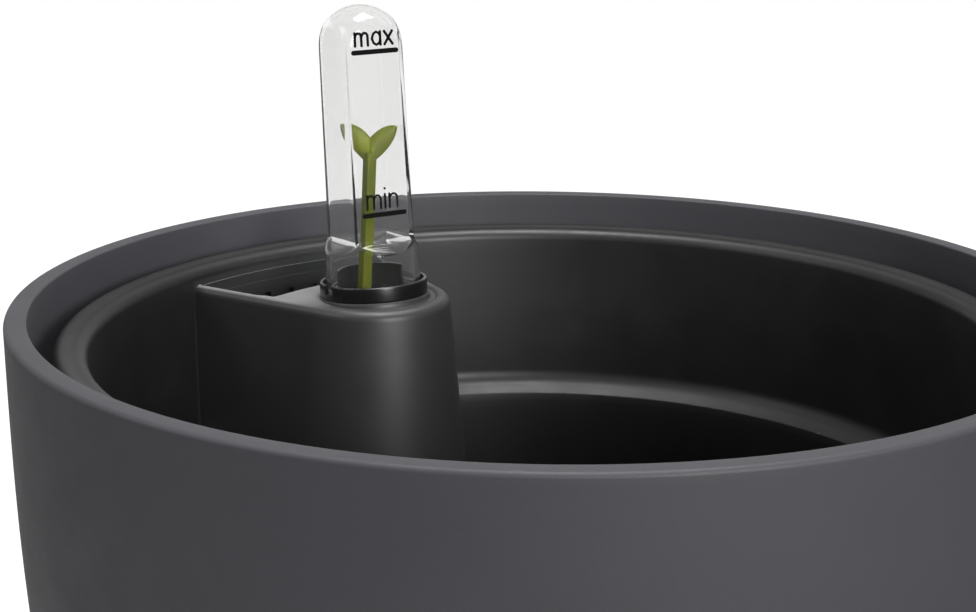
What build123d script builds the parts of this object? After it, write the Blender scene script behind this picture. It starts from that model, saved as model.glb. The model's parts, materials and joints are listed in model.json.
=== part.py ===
from build123d import *
from math import acos, cos, degrees, radians, sin, sqrt, tan
import os

# Self watering planter: a tapered outer pot, a planting liner with a hollow tower, and a float gauge.
# Millimetres. The origin is the centre of the foot, +Z is up, and the tower stands at the back left.

# ---------- driving dimensions ----------
# outer pot
rim_radius = 151.0
pot_height = 260.0
foot_radius = 86.0
rim_taper = 0.012
lip_width = 6.2
lip_outer_round = 1.4
lip_inner_round = 0.5
pot_floor = 8.0
foot_recess_radius = 75.0
foot_recess_depth = 4.0
foot_round = 2.0
drain_radius = 10.0

# planting liner, levels measured down from the rim
liner_wall = 2.2
flange_radius = 138.3
flange_drop = 9.0
flange_edge_drop = 15.0
flange_bead_radius = 136.1
wall_top_radius = 129.0
wall_top_drop = 13.0
shoulder_round = 3.3
flange_dish = 0.6
ledge_drop = 65.6
ledge_radius = 121.5
ledge_round = 6.0
ledge_slope = 32.0
liner_floor_drop = 180.0
liner_floor_radius = 108.5

# tower moulded into the liner
tower_azimuth = 133.9
tower_distance = 78.3
nose_radius = 23.8
flank_angle = 15.4
flank_floor_angle = 1.0
tower_draft = 5.5
tower_edge_round = 3.0
deck_drop = 14.7
deck_thickness = 2.5
filler_inner_radius = 100.3
filler_corner_round = 6.0
vent_width = 3.2
vent_height = 8.0
vent_top_drop = 22.95
vent_spacing = 4.2
vent_azimuth = 132.1

# legs, wicks and drainage holes under and in the liner's floor
leg_circle = 66.0
leg_top_radius = 11.0
leg_foot_radius = 9.0
leg_offsets = (60.0, -60.0, 130.0, -130.0)
wick_circle = 50.0
wick_offsets = (95.0, 155.0, -155.0, -95.0)
wick_width = 14.0
wick_thickness = 3.0
wick_tail = 28.0
wick_gap = 1.0
air_hole_radius = 2.5
standing_gap = 0.1

# water level gauge, distances measured along its leaning axis from the collar's seat
gauge_lean = 4.2
gauge_seat_height = 0.2
front_flat_azimuth = -59.0
seat_radius = 17.3
collar_radius = 16.9
collar_inner_radius = 15.8
collar_height = 4.8
collar_floor = 1.5
collar_bore = 10.4
guard_radius = 11.2
guard_height = 8.0
guard_start = 5.0
guard_end = 159.0
notch_angle = 188.0
sleeve_radius = 14.8
sleeve_bore = 13.3
sleeve_depth = 233.0
sleeve_clearance = 0.3
sleeve_cap_thickness = 2.0
snap_clearance = 0.05
inlet_width = 4.0
inlet_height = 20.0

tube_height = 90.4
tube_foot_radius = 14.7
tube_flange_radius = 15.4
tube_flange_height = 1.2
tube_top_radius = 13.4
tube_wall = 1.5
tube_flat_distance = 10.4
tube_flat_start = 18.6
tube_shoulder_start = 14.2

float_radius = 12.0
float_height = 24.0
float_wall = 1.2
float_rest_depth = 203.0
float_cap_thickness = 2.9
stem_width = 3.6
leaf_thickness = 1.8
leaf_azimuth = 5.1

plug_head_radius = 14.0
plug_head_thickness = 2.2
plug_clearance = 0.08
grip_length = 20.0
grip_thickness = 4.0
grip_height = 8.0
seal_inner_radius = 10.3
seal_outer_radius = 13.4
seal_thickness = 0.8

# ---------- levels and frames worked out from them ----------
deck_level = pot_height - deck_drop
liner_floor = pot_height - liner_floor_drop
liner_underside = liner_floor - liner_wall
nose_growth = (deck_level - liner_floor) * tan(radians(tower_draft))


def outward(azimuth, distance=1.0, level=0.0):
    """Point at a distance from the pot's axis in the direction of an azimuth."""
    return (distance * cos(radians(azimuth)), distance * sin(radians(azimuth)), level)


def radial_plane(azimuth, level=0.0):
    """Horizontal plane on the pot's axis whose local X points outwards along an azimuth."""
    return Plane(origin=(0, 0, level), x_dir=outward(azimuth), z_dir=(0, 0, 1))


def section_of(frame):
    """Plane through a frame's own Z axis: local X is the frame's X and local Y its Z."""
    return Plane(origin=frame.origin, x_dir=frame.x_dir, z_dir=-frame.y_dir)


gauge_origin = outward(tower_azimuth, tower_distance, deck_level + gauge_seat_height)
gauge_up = outward(tower_azimuth, sin(radians(gauge_lean)), cos(radians(gauge_lean)))
gauge = Plane(origin=gauge_origin, x_dir=outward(front_flat_azimuth + 90), z_dir=gauge_up)
gauge_section = section_of(gauge)
gauge_axis = Axis(gauge.origin, gauge.z_dir)
leaf_section = section_of(Plane(origin=gauge_origin, x_dir=outward(leaf_azimuth), z_dir=gauge_up))

os.makedirs("parts", exist_ok=True)


def finish(piece, name):
    """Label a finished piece and write it to its own STEP file."""
    piece.label = name
    export_step(piece, f"parts/{name}.step")


# ---------- outer pot ----------
# The wall leaves the rim almost straight down and pulls in more and more towards the foot.
taper_step = rim_taper * pot_height / 3
inner_foot = foot_radius - 2.5
inner_rise = (pot_height - pot_floor) / 3
with BuildPart() as outer_pot:
    with BuildSketch(Plane.XZ):
        with BuildLine():
            outside = Bezier(
                (rim_radius, pot_height),
                (rim_radius - taper_step, pot_height * 2 / 3),
                (rim_radius - 2 * taper_step, pot_height / 3),
                (foot_radius, 0),
            )
            inside = Bezier(
                (rim_radius - lip_width, pot_height),
                (rim_radius - lip_width - taper_step, pot_height - inner_rise),
                (rim_radius - lip_width - 2 * taper_step, pot_height - 2 * inner_rise),
                (inner_foot, pot_floor),
            )
            Line(outside @ 0, inside @ 0)
            Polyline(
                outside @ 1,
                (foot_recess_radius, 0),
                (foot_recess_radius, foot_recess_depth),
                (drain_radius, foot_recess_depth),
                (drain_radius, pot_floor),
                inside @ 1,
            )
        make_face()
    revolve(axis=Axis.Z)
    fillet(outer_pot.edges().group_by(Axis.Z)[-1].sort_by(SortBy.LENGTH)[-1], lip_outer_round)
    fillet(outer_pot.edges().group_by(Axis.Z)[-1].sort_by(SortBy.LENGTH)[0], lip_inner_round)
    fillet(outer_pot.edges().group_by(Axis.Z)[0], foot_round)
finish(outer_pot.part, "outer_pot")

# ---------- drain plug and its seal ----------
# The plug is pushed in from above: its head and seal sit on the pot's floor, under a grip.
seal_bottom = pot_floor + standing_gap / 2
head_bottom = seal_bottom + seal_thickness + standing_gap / 2
shank_bottom = foot_recess_depth - 1.5
with BuildPart() as drain_plug:
    with BuildSketch(Plane.XY.offset(shank_bottom)):
        Circle(drain_radius - plug_clearance)
    extrude(amount=head_bottom - shank_bottom)
    chamfer(drain_plug.edges().group_by(Axis.Z)[0], 1.0)
    with BuildSketch(Plane.XY.offset(head_bottom)):
        Circle(plug_head_radius)
    extrude(amount=plug_head_thickness)
    with BuildSketch(Plane.XY.offset(head_bottom + plug_head_thickness)):
        SlotOverall(grip_length, grip_thickness)
    extrude(amount=grip_height)
    fillet(drain_plug.edges().group_by(Axis.Z)[-1], 0.8)
finish(drain_plug.part, "drain_plug")

with BuildPart() as drain_plug_seal:
    with BuildSketch(Plane.XY.offset(seal_bottom)):
        Circle(seal_outer_radius)
        Circle(seal_inner_radius, mode=Mode.SUBTRACT)
    extrude(amount=seal_thickness)
    fillet(drain_plug_seal.edges(), 0.3)
finish(drain_plug_seal.part, "drain_plug_seal")

# ---------- planting liner ----------
wall_top = pot_height - wall_top_drop
ledge_level = pot_height - ledge_drop
ledge_top = ledge_level + ledge_round
flange_top = pot_height - flange_drop
flange_edge = pot_height - flange_edge_drop
bead_round = flange_radius - flange_bead_radius
shoulder_radius = wall_top_radius + shoulder_round
# The ledge slopes down to its inner edge, where the wall drops on towards the floor.
slope_foot = ledge_top - ledge_round * cos(radians(ledge_slope))
slope_run = ledge_round * sin(radians(ledge_slope))
ledge_edge_level = slope_foot - slope_run * tan(radians(ledge_slope))

# soil_space is the room inside the liner. water_space is the same, but runs on down through the floor.
with BuildPart() as soil_space:
    with BuildSketch(Plane.XZ):
        with BuildLine():
            ledge = CenterArc(
                (ledge_radius, ledge_top), ledge_round, ledge_slope - 90, 90 - ledge_slope
            )
            Line(ledge @ 1, (wall_top_radius, wall_top))
            Polyline(
                (wall_top_radius, wall_top),
                (0, wall_top),
                (0, liner_floor),
                (liner_floor_radius, liner_floor),
                (ledge_radius, ledge_edge_level),
                ledge @ 0,
            )
        make_face()
    revolve(axis=Axis.Z)

with BuildPart() as water_space:
    add(soil_space.part)
    with BuildSketch(Plane.XY.offset(liner_floor)):
        Circle(liner_floor_radius)
    extrude(amount=-4 * liner_wall)

# The shell follows soil_space one wall thickness outside it, and turns over into the flange.
under_ledge_sweep = degrees(acos(liner_wall / (ledge_round + liner_wall)))
with BuildPart() as shell:
    with BuildSketch(Plane.XZ):
        with BuildLine():
            inner_ledge = CenterArc(
                (ledge_radius, ledge_top), ledge_round, ledge_slope - 90, 90 - ledge_slope
            )
            shoulder = CenterArc((shoulder_radius, wall_top), shoulder_round, 180, -90)
            Line(inner_ledge @ 1, shoulder @ 0)
            bead = CenterArc((flange_bead_radius, flange_top - bead_round), bead_round, 90, -90)
            Polyline(
                shoulder @ 1,
                (flange_bead_radius - 1.2, flange_top - flange_dish),
                bead @ 0,
            )
            under_ledge = CenterArc(
                (ledge_radius, ledge_top), ledge_round + liner_wall, 0, -under_ledge_sweep
            )
            Polyline(
                bead @ 1,
                (flange_radius, flange_edge),
                (flange_radius - liner_wall, flange_edge),
                (flange_radius - liner_wall, wall_top + 0.6),
                (wall_top_radius + liner_wall, wall_top + 0.6),
                under_ledge @ 0,
            )
            Polyline(
                under_ledge @ 1,
                (liner_floor_radius + liner_wall, liner_underside),
                (0, liner_underside),
                (0, liner_floor),
                (liner_floor_radius, liner_floor),
                (ledge_radius, ledge_edge_level),
                inner_ledge @ 0,
            )
        make_face()
    revolve(axis=Axis.Z)


def tower_outline(level, radius, angle):
    """Plan of the tower: a round nose and two flanks that spread towards the liner's wall."""
    with BuildSketch(radial_plane(tower_azimuth, level)) as outline:
        with BuildLine():
            nose = CenterArc((tower_distance, 0), radius, 90 + angle, 180 - 2 * angle)
            upper = PolarLine(nose @ 0, rim_radius - tower_distance, angle)
            lower = PolarLine(nose @ 1, rim_radius - tower_distance, -angle)
            Line(upper @ 1, lower @ 1)
        make_face()
    return outline.sketch


with BuildPart() as tower:
    loft(
        sections=[
            tower_outline(deck_level, nose_radius, flank_angle),
            tower_outline(liner_floor, nose_radius + nose_growth, flank_floor_angle),
        ]
    )
    top_edges = tower.edges().group_by(Axis.Z)[-1].sort_by(Axis((0, 0, 0), outward(tower_azimuth)))
    fillet(top_edges[:-1], tower_edge_round)
    add(soil_space.part, mode=Mode.INTERSECT)

# The hollow inside the tower is open to the reservoir below the liner's floor.
cavity_top = deck_level - deck_thickness
cavity_radius = nose_radius - liner_wall
cavity_growth = (cavity_top - liner_underside + liner_wall) * tan(radians(tower_draft))
with BuildPart() as tower_cavity:
    loft(
        sections=[
            tower_outline(cavity_top, cavity_radius, flank_angle),
            tower_outline(
                liner_underside - liner_wall, cavity_radius + cavity_growth, flank_floor_angle
            ),
        ]
    )
    add(water_space.part, mode=Mode.INTERSECT)

with BuildPart() as filler_opening:
    with BuildSketch(Plane.XY.offset(cavity_top - 1)) as filler:
        add(tower_outline(0, cavity_radius, flank_angle))
        Circle(wall_top_radius - 0.2, mode=Mode.INTERSECT)
        Circle(filler_inner_radius, mode=Mode.SUBTRACT)
        near_corners = filler.vertices().sort_by_distance((0, 0, cavity_top - 1))[:2]
        fillet(near_corners, filler_corner_round)
    extrude(amount=deck_thickness + 2)

with BuildPart() as liner:
    add(shell.part)
    add(tower.part)
    add(tower_cavity.part, mode=Mode.SUBTRACT)
    add(filler_opening.part, mode=Mode.SUBTRACT)
    # tilted seat for the gauge: a boss under it, a recess where the deck stands higher than the seat
    with BuildSketch(gauge):
        Circle(seat_radius)
    extrude(amount=-deck_thickness - 2.5)
    with BuildSketch(gauge):
        Circle(collar_radius + sleeve_clearance)
    extrude(amount=deck_thickness, mode=Mode.SUBTRACT)
    with BuildSketch(gauge.offset(deck_thickness)):
        Circle(sleeve_radius + sleeve_clearance)
    extrude(amount=-20, mode=Mode.SUBTRACT)
    # vent slots in the wall behind the filler opening
    for step in (-1, 0, 1):
        azimuth = vent_azimuth + step * vent_spacing
        with BuildSketch(radial_plane(azimuth, pot_height - vent_top_drop)):
            with Locations((wall_top_radius, 0)):
                Rectangle(4 * liner_wall, vent_width)
        extrude(amount=-vent_height, mode=Mode.SUBTRACT)
    # hollow legs that stand on the pot's floor
    leg_height = liner_underside - pot_floor - standing_gap
    for offset_angle in leg_offsets:
        foot = outward(tower_azimuth + offset_angle, leg_circle, pot_floor + standing_gap)
        for shift, leg_mode in ((0.0, Mode.ADD), (liner_wall, Mode.SUBTRACT)):
            with BuildSketch(Plane(origin=foot)):
                Circle(leg_foot_radius - shift)
            with BuildSketch(Plane(origin=foot).offset(leg_height + 0.5 - shift)):
                Circle(leg_top_radius - shift)
            loft(mode=leg_mode)
    # slots for the wicks
    for offset_angle in wick_offsets:
        with BuildSketch(radial_plane(tower_azimuth + offset_angle, liner_floor)):
            with Locations((wick_circle, 0)):
                Rectangle(wick_thickness + 2 * wick_gap, wick_width + 2 * wick_gap)
        extrude(amount=-2 * liner_wall, mode=Mode.SUBTRACT)
    # air and drainage holes, kept clear of the tower
    with BuildSketch(radial_plane(tower_azimuth, liner_floor)):
        with PolarLocations(30, 6):
            Circle(air_hole_radius)
        with PolarLocations(92, 11, start_angle=40, angular_range=280, endpoint=True):
            Circle(air_hole_radius)
    extrude(amount=-2 * liner_wall, mode=Mode.SUBTRACT)
finish(liner.part, "liner")

# ---------- wicks ----------
wick_bottom = pot_floor + 2.0
wick_top = liner_floor + wick_gap + wick_thickness
for number, offset_angle in enumerate(wick_offsets, 1):
    with BuildPart() as wick:
        with BuildSketch(section_of(radial_plane(tower_azimuth + offset_angle))):
            with BuildLine():
                strap_inner = wick_circle - wick_thickness / 2
                strap_outer = wick_circle + wick_thickness / 2
                Polyline(
                    (strap_inner, wick_bottom),
                    (strap_outer, wick_bottom),
                    (strap_outer, wick_top - wick_thickness),
                    (strap_inner + wick_tail, wick_top - wick_thickness),
                    (strap_inner + wick_tail, wick_top),
                    (strap_inner, wick_top),
                    close=True,
                )
            make_face()
        extrude(amount=wick_width / 2, both=True)
    finish(wick.part, f"wick_{number}")

# ---------- gauge sleeve with its collar, and its end cap ----------
with BuildPart() as gauge_sleeve:
    with BuildSketch(gauge_section):
        with BuildLine():
            Polyline(
                (collar_radius, 0),
                (collar_radius, collar_height),
                (collar_inner_radius, collar_height),
                (collar_inner_radius, collar_floor),
                (collar_bore, collar_floor),
                (collar_bore, -1.5),
                (sleeve_bore, -3.0),
                (sleeve_bore, -sleeve_depth),
                (sleeve_radius, -sleeve_depth),
                (sleeve_radius, 0),
                close=True,
            )
        make_face()
    revolve(axis=gauge_axis)
    # guard wall behind the stem, open towards the front
    with BuildSketch(gauge.offset(collar_floor - 0.5)):
        with BuildLine():
            outer_arc = CenterArc((0, 0), guard_radius, guard_start, guard_end - guard_start)
            inner_arc = CenterArc((0, 0), collar_bore, guard_start, guard_end - guard_start)
            Line(outer_arc @ 0, inner_arc @ 0)
            Line(outer_arc @ 1, inner_arc @ 1)
        make_face()
    extrude(amount=guard_height - collar_floor + 0.5)
    # notch in the collar ring, for prising the tube out
    with BuildSketch(gauge.offset(collar_floor + 0.5)):
        with PolarLocations(collar_radius, 1, notch_angle):
            Rectangle(4, 4)
    extrude(amount=collar_height, mode=Mode.SUBTRACT)
    # four water inlets round the sleeve's foot
    with BuildSketch(gauge.offset(inlet_height + 6 - sleeve_depth)):
        Rectangle(2 * sleeve_radius + 2, inlet_width)
        Rectangle(inlet_width, 2 * sleeve_radius + 2)
    extrude(amount=-inlet_height, mode=Mode.SUBTRACT)
finish(gauge_sleeve.part, "gauge_sleeve")

# The cap has a pierced disc under the sleeve and a short collar that snaps into its bore.
with BuildPart() as sleeve_cap:
    with BuildSketch(gauge.offset(-sleeve_depth - snap_clearance)):
        Circle(sleeve_radius)
        with PolarLocations(8, 6):
            Circle(2, mode=Mode.SUBTRACT)
    extrude(amount=-sleeve_cap_thickness)
    with BuildSketch(gauge.offset(-sleeve_depth - snap_clearance)):
        Circle(sleeve_bore - snap_clearance)
        Circle(sleeve_bore - 1.3, mode=Mode.SUBTRACT)
    extrude(amount=2.5)
finish(sleeve_cap.part, "sleeve_cap")

# ---------- clear gauge tube ----------
tube_base = collar_floor + 0.1
dome_start = tube_height - tube_top_radius
bore_top_radius = tube_top_radius - tube_wall
bore_foot_radius = tube_foot_radius - tube_wall


def flats_block(distance):
    """Square block of four flats, which spread below them in a sloping shoulder."""
    wide = 2 * tube_foot_radius + 2
    with BuildPart() as block:
        with BuildSketch(gauge.offset(tube_shoulder_start)):
            Rectangle(wide, wide)
        extrude(amount=-tube_shoulder_start)
        with BuildSketch(gauge.offset(tube_shoulder_start)):
            Rectangle(wide, wide)
        with BuildSketch(gauge.offset(tube_flat_start)):
            Rectangle(2 * distance, 2 * distance)
        loft(ruled=True)
        with BuildSketch(gauge.offset(tube_flat_start)):
            Rectangle(2 * distance, 2 * distance)
        extrude(amount=tube_height)
    return block.part


with BuildPart() as tube_outside:
    with BuildSketch(gauge_section):
        with BuildLine():
            dome = CenterArc((0, dome_start), tube_top_radius, 0, 90)
            Polyline(dome @ 0, (tube_foot_radius, tube_base), (0, tube_base), dome @ 1)
        make_face()
    revolve(axis=gauge_axis)
    add(flats_block(tube_flat_distance), mode=Mode.INTERSECT)

with BuildPart() as tube_inside:
    with BuildSketch(gauge_section):
        with BuildLine():
            dome = CenterArc((0, dome_start), bore_top_radius, 0, 90)
            Polyline(dome @ 0, (bore_foot_radius, tube_base - 1), (0, tube_base - 1), dome @ 1)
        make_face()
    revolve(axis=gauge_axis)
    add(flats_block(tube_flat_distance - tube_wall), mode=Mode.INTERSECT)

with BuildPart() as gauge_tube:
    add(tube_outside.part)
    with BuildSketch(gauge.offset(tube_base)):
        Circle(tube_flange_radius)
    extrude(amount=tube_flange_height)
    add(tube_inside.part, mode=Mode.SUBTRACT)
finish(gauge_tube.part, "gauge_tube")

# ---------- float with its cap, stem and sprout pointer ----------
float_bottom = -float_rest_depth
float_top = float_bottom + float_height
body_bottom = float_bottom + float_cap_thickness + standing_gap
socket_depth = 12.0
socket_radius = stem_width * sqrt(0.5) + 0.2
with BuildPart() as float_body:
    with BuildSketch(gauge.offset(body_bottom)):
        Circle(float_radius)
    extrude(amount=float_top - body_bottom)
    fillet(float_body.edges().group_by(gauge_axis)[-1], 1.5)
    # air chamber, open downwards, round the column that holds the stem's socket
    with BuildSketch(gauge.offset(body_bottom)):
        Circle(float_radius - float_wall)
        Circle(socket_radius + float_wall, mode=Mode.SUBTRACT)
    extrude(amount=float_top - body_bottom - 2 * float_wall, mode=Mode.SUBTRACT)
    with BuildSketch(gauge.offset(float_top)):
        Circle(socket_radius)
    extrude(amount=-socket_depth, mode=Mode.SUBTRACT)
finish(float_body.part, "float_body")

with BuildPart() as float_cap:
    with BuildSketch(gauge.offset(float_bottom)):
        Circle(float_radius)
    extrude(amount=float_cap_thickness)
    with BuildSketch(gauge.offset(float_bottom + float_cap_thickness)):
        Circle(float_radius - float_wall - snap_clearance)
        Circle(float_radius - 2 * float_wall - snap_clearance, mode=Mode.SUBTRACT)
    extrude(amount=3)
finish(float_cap.part, "float_cap")

# The stem takes a slight bend under the collar, so the sprout leans a little in the tube.
stem_half = stem_width / 2
stem_foot = (0.0, float_top - socket_depth + 0.2)
stem_bend = (-3.3, -14.0)
stem_top = (0.6, 42.5)
with BuildPart() as sprout_pointer:
    with BuildSketch(leaf_section):
        with BuildLine():
            Polyline(
                (stem_foot[0] - stem_half, stem_foot[1]),
                (stem_foot[0] + stem_half, stem_foot[1]),
                (stem_bend[0] + stem_half, stem_bend[1]),
                (stem_top[0] + stem_half, stem_top[1]),
                (stem_top[0] - stem_half, stem_top[1]),
                (stem_bend[0] - stem_half, stem_bend[1]),
                close=True,
            )
        make_face()
    extrude(amount=stem_half, both=True)
    # two pointed leaves in a V
    for side, tip in ((-1, (-7.4, 53.4)), (1, (8.8, 52.6))):
        with BuildSketch(leaf_section):
            with BuildLine():
                root = (stem_top[0], stem_top[1] - 1.5)
                inner_edge = Spline(
                    root,
                    (stem_top[0] + side * 1.2, 49.4),
                    tip,
                )
                outer_edge = Spline(
                    tip,
                    (stem_top[0] + side * 5.9, 46.6),
                    root,
                )
            make_face()
        extrude(amount=leaf_thickness / 2, both=True)
finish(sprout_pointer.part, "sprout_pointer")
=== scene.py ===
import json
import math

import bpy
from mathutils import Matrix, Vector


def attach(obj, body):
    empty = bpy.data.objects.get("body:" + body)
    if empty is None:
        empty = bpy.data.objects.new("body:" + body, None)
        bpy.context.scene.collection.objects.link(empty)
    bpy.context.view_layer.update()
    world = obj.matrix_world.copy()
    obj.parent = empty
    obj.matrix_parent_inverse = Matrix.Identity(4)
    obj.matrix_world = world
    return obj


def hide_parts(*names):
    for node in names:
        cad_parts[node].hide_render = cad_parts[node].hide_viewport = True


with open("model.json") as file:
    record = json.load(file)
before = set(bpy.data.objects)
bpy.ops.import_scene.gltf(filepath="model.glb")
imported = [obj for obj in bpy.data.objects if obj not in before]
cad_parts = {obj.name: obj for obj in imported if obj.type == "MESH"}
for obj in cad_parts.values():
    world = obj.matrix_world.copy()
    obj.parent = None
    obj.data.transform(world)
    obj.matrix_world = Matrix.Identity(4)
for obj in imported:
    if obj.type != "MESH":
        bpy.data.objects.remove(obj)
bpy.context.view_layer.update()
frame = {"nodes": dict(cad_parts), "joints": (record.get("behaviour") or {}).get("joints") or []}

# The looks of a self watering planter. Sizes are millimetres and angles degrees; meshes are made in
# metres, in the CAD frame. Levels called "drop" are measured down from the rim.

MM = 0.001
ROUND_STEPS = 288

# ---------- sizes that the CAD model shares ----------
rim_radius = 151.0
pot_height = 260.0
foot_radius = 86.0
rim_taper = 0.012
lip_width = 6.2
lip_outer_round = 1.4
lip_inner_round = 0.5
pot_floor = 8.0
foot_recess_radius = 75.0
foot_recess_depth = 4.0
drain_radius = 10.0

liner_wall = 2.2
flange_radius = 138.3
flange_bead_radius = 136.1
flange_top = pot_height - 9.0
flange_edge = pot_height - 15.0
wall_top_radius = 129.0
wall_top = pot_height - 13.0
shoulder_round = 3.3
ledge_level = pot_height - 65.6
ledge_radius = 121.5
ledge_round = 6.0
ledge_slope = 32.0
liner_floor = pot_height - 180.0
liner_floor_radius = 108.5

tower_azimuth = 133.9
tower_distance = 78.3
nose_radius = 23.8
flank_angle = 15.4
flank_floor_angle = 1.0
tower_draft = 5.5
deck_level = pot_height - 14.7
deck_thickness = 2.5
filler_radius = 100.3
filler_corner_round = 6.0
vent_top = pot_height - 22.95
vent_azimuth = 132.1
vent_spacing = 4.2
vent_width = 3.2
vent_height = 8.0
seat_flare = 2.2
air_hole_radius = 2.5

leg_circle = 66.0
leg_offsets = (60.0, -60.0, 130.0, -130.0)
wick_circle = 50.0
wick_offsets = (95.0, 155.0, -155.0, -95.0)
wick_width = 14.0
wick_thickness = 3.0

gauge_seat_height = 0.2
seat_radius = 17.3
front_flat_azimuth = -59.0
leaf_azimuth = 5.1
collar_radius = 16.9
collar_bore = 15.8
collar_height = 4.8
collar_floor = 1.5
collar_inside = 10.4
guard_radius = 11.2
guard_height = 8.0
guard_start = 5.0
guard_end = 159.0
notch_angle = 188.0
sleeve_radius = 14.8
sleeve_bore = 13.3
sleeve_depth = 233.0
tube_height = 90.4
tube_foot_radius = 14.9
tube_top_radius = 13.6
tube_wall = 1.5
tube_flat = 10.4
tube_flat_start = 18.6
tube_shoulder_start = 14.2
tube_flange_radius = 15.4
tube_flange_height = 1.2
float_low = -203.0
float_height = 24.0

# ---------- sizes of the looks alone ----------
# share of the shoulder below the flats that eases in, and width over which flats and round parts blend
shoulder_eased = 0.4
corner_blend = 1.5
# printed marks: name, word, bar's height above the seat, letter height, stroke width, bar's two ends
level_marks = (
    ("mark_max", "max", 76.4, 3.9, 0.85, (-7.4, 7.0)),
    ("mark_min", "min", 26.5, 4.2, 0.70, (-6.6, 7.0)),
)
bar_half_width = 0.74
word_rise = 2.0
word_shift = -0.4
letter_gap = 0.36
print_lift = 0.02
print_thickness = 0.06


# ---------- frames ----------
def outward(azimuth, distance=1.0, level=0.0):
    """Point at a distance from the pot's axis in the direction of an azimuth."""
    angle = math.radians(azimuth)
    return Vector((distance * math.cos(angle), distance * math.sin(angle), level))


def axes_frame(origin, x_hint, z_axis):
    """4x4 frame at origin with local Z along z_axis and local X near x_hint."""
    z_axis = z_axis.normalized()
    x_axis = (x_hint - z_axis * x_hint.dot(z_axis)).normalized()
    y_axis = z_axis.cross(x_axis)
    rotation = Matrix((x_axis, y_axis, z_axis)).transposed().to_4x4()
    return Matrix.Translation(origin) @ rotation


up = Vector((0, 0, 1))
pot_frame = Matrix.Identity(4)
tower_frame = axes_frame(Vector((0, 0, 0)), outward(tower_azimuth), up)
gauge_joint = [joint for joint in frame["joints"] if joint["name"] == "gauge_lift"][0]
gauge_up = Vector(gauge_joint["axis"]).normalized()
gauge_origin = outward(tower_azimuth, tower_distance, deck_level + gauge_seat_height)
gauge_frame = axes_frame(gauge_origin, outward(front_flat_azimuth + 90), gauge_up)
leaf_frame = axes_frame(gauge_origin, outward(leaf_azimuth), gauge_up)


# ---------- mesh helpers ----------
def add_mesh(name, points, faces, placed=pot_frame, sharp=35.0):
    """Mesh object from points in millimetres in a frame, smooth except at edges over an angle."""
    mesh = bpy.data.meshes.new(name)
    mesh.from_pydata([(placed @ Vector(p)) * MM for p in points], [], faces)
    mesh.validate()
    obj = bpy.data.objects.new(name, mesh)
    bpy.context.scene.collection.objects.link(obj)
    smooth(obj, sharp)
    return obj


def smooth(obj, sharp=35.0):
    """Shade smooth, with sharp edges wherever two faces meet at more than an angle."""
    obj.data.polygons.foreach_set("use_smooth", [True] * len(obj.data.polygons))
    obj.data.set_sharp_from_angle(angle=math.radians(sharp))


def arc(centre, radius, start, end, steps=8):
    """Points on a circular arc between two angles."""
    turns = [math.radians(start + (end - start) * i / steps) for i in range(steps + 1)]
    return [(centre[0] + radius * math.cos(a), centre[1] + radius * math.sin(a)) for a in turns]


def stretch(start, end, steps):
    """Points evenly spread on a straight line, without its end."""
    run, rise = end[0] - start[0], end[1] - start[1]
    return [(start[0] + run * i / steps, start[1] + rise * i / steps) for i in range(steps)]


def bezier(p0, p1, p2, p3, steps):
    """Points on a cubic Bezier curve."""
    out = []
    for i in range(steps + 1):
        t = i / steps
        a, b, c, d = (1 - t) ** 3, 3 * t * (1 - t) ** 2, 3 * t * t * (1 - t), t**3
        out.append(tuple(a * p0[k] + b * p1[k] + c * p2[k] + d * p3[k] for k in (0, 1)))
    return out


def lathe(name, outline, placed=pot_frame, steps=ROUND_STEPS, sharp=35.0):
    """Closed solid from a closed outline of (radius, height) turned about a frame's Z axis."""
    points, rings = [], []
    for radius, height in outline:
        if radius < 1e-6:
            rings.append([len(points)] * steps)
            points.append((0, 0, height))
        else:
            rings.append(list(range(len(points), len(points) + steps)))
            for i in range(steps):
                turn = 2 * math.pi * i / steps
                points.append((radius * math.cos(turn), radius * math.sin(turn), height))
    faces = []
    for k, ring in enumerate(rings):
        following = rings[(k + 1) % len(rings)]
        if ring[0] == ring[1] and following[0] == following[1]:
            continue
        for i in range(steps):
            j = (i + 1) % steps
            corner = [ring[i], ring[j], following[j], following[i]]
            faces.append(list(dict.fromkeys(corner)))
    obj = add_mesh(name, points, faces, placed, sharp)
    return face_outwards(obj)


def loft(name, loops, placed=pot_frame, sharp=35.0):
    """Closed solid through equal loops of points, capped at both ends."""
    count = len(loops[0])
    points = [p for loop in loops for p in loop]
    faces = []
    for k in range(len(loops) - 1):
        for i in range(count):
            j = (i + 1) % count
            faces.append([k * count + i, k * count + j, (k + 1) * count + j, (k + 1) * count + i])
    faces.append(list(range(count))[::-1])
    faces.append([(len(loops) - 1) * count + i for i in range(count)])
    return face_outwards(add_mesh(name, points, faces, placed, sharp))


def face_outwards(obj):
    """Turn every face outwards, judged by the volume's sign."""
    volume = 0.0
    for polygon in obj.data.polygons:
        corners = [obj.data.vertices[i].co for i in polygon.vertices]
        for k in range(1, len(corners) - 1):
            volume += corners[0].dot(corners[k].cross(corners[k + 1]))
    if volume < 0:
        obj.data.flip_normals()
    return obj


def boolean(obj, tool, operation, sharp=35.0):
    """Apply one boolean with a tool object, which is used up."""
    modifier = obj.modifiers.new("boolean", "BOOLEAN")
    modifier.object = tool
    modifier.operation = operation
    modifier.solver = "MANIFOLD"
    bpy.context.view_layer.update()
    evaluated = obj.evaluated_get(bpy.context.evaluated_depsgraph_get())
    result = bpy.data.meshes.new_from_object(evaluated)
    obj.modifiers.clear()
    obj.data = result
    bpy.data.objects.remove(tool)
    smooth(obj, sharp)
    return obj


# ---------- materials ----------
# milky share of the clear tube's surface, for the first skin a ray passes and for the ones behind it
near_haze = 0.012
far_haze = 0.055
# colours of the tower, paler than the liner's walls, and of the painted reflection of the backdrop on
# the top of its deck, behind the gauge
tower_tone = (0.018, 0.018, 0.018)
deck_reflection_tone = (0.16, 0.16, 0.16)


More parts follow.
